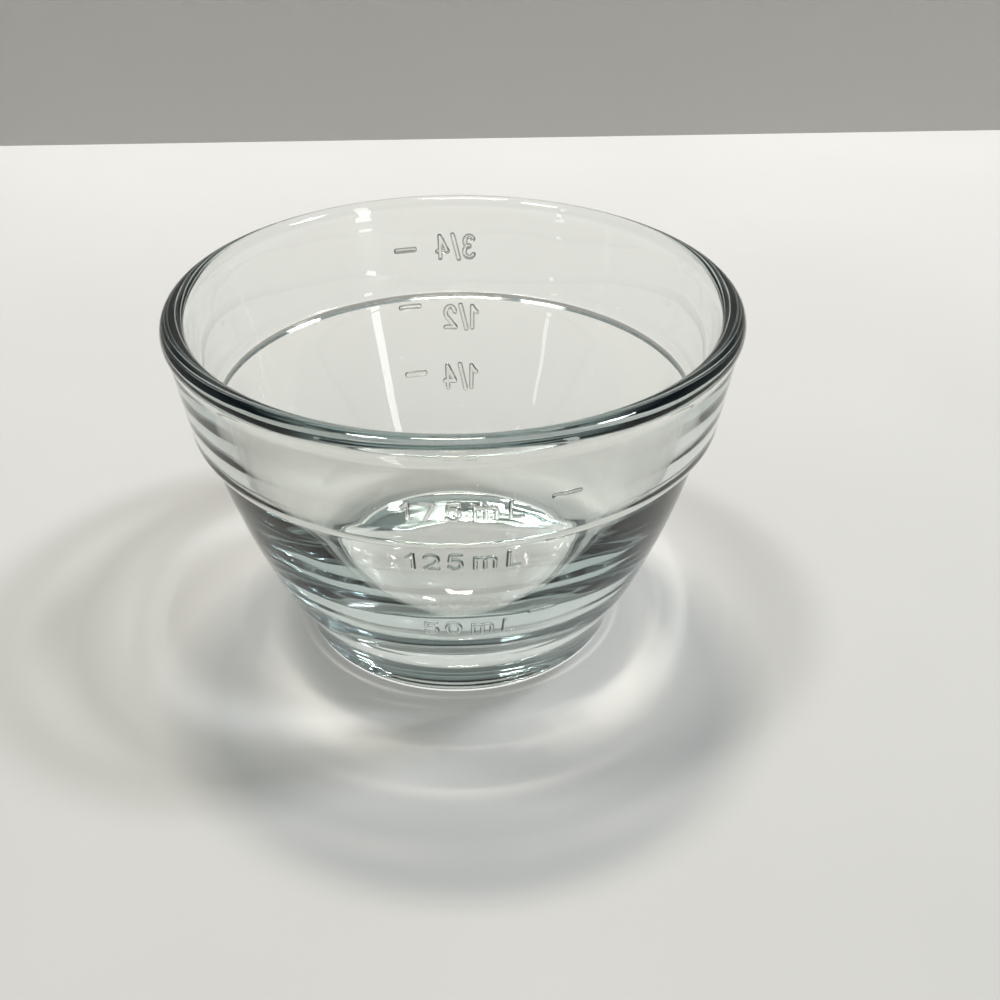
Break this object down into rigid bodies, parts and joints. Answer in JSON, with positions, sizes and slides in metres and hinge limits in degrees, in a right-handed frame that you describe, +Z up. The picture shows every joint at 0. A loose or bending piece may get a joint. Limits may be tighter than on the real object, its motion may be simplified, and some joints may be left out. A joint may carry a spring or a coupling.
{
  "type": "measuring prep bowl",
  "caption": "Small stackable prep bowl of clear pressed glass with a rounded rim, a stacking shoulder, a flared foot and raised measuring bars.",
  "frame": {"origin": "centre of the foot, in the plane of the table that the bowl stands on", "axes": "+Z up along the bowl's axis of revolution; -Y faces the millilitre marks and +Y the cup marks"},
  "size_m": [0.095, 0.095, 0.0618],
  "materials": {
    "bowl": "clear, fire polished",
    "bar_50_ml": "clear, fire polished",
    "bar_125_ml": "clear, fire polished",
    "bar_175_ml": "clear, fire polished",
    "bar_quarter_cup": "clear, fire polished",
    "bar_half_cup": "clear, fire polished",
    "bar_three_quarter_cup": "clear, fire polished"
  },
  "bodies": {
    "root": {"bowl": "bowl", "bar_50_ml": "bar_50_ml", "bar_125_ml": "bar_125_ml", "bar_175_ml": "bar_175_ml", "bar_quarter_cup": "bar_quarter_cup", "bar_half_cup": "bar_half_cup", "bar_three_quarter_cup": "bar_three_quarter_cup"}
  },
  "joints": []
}
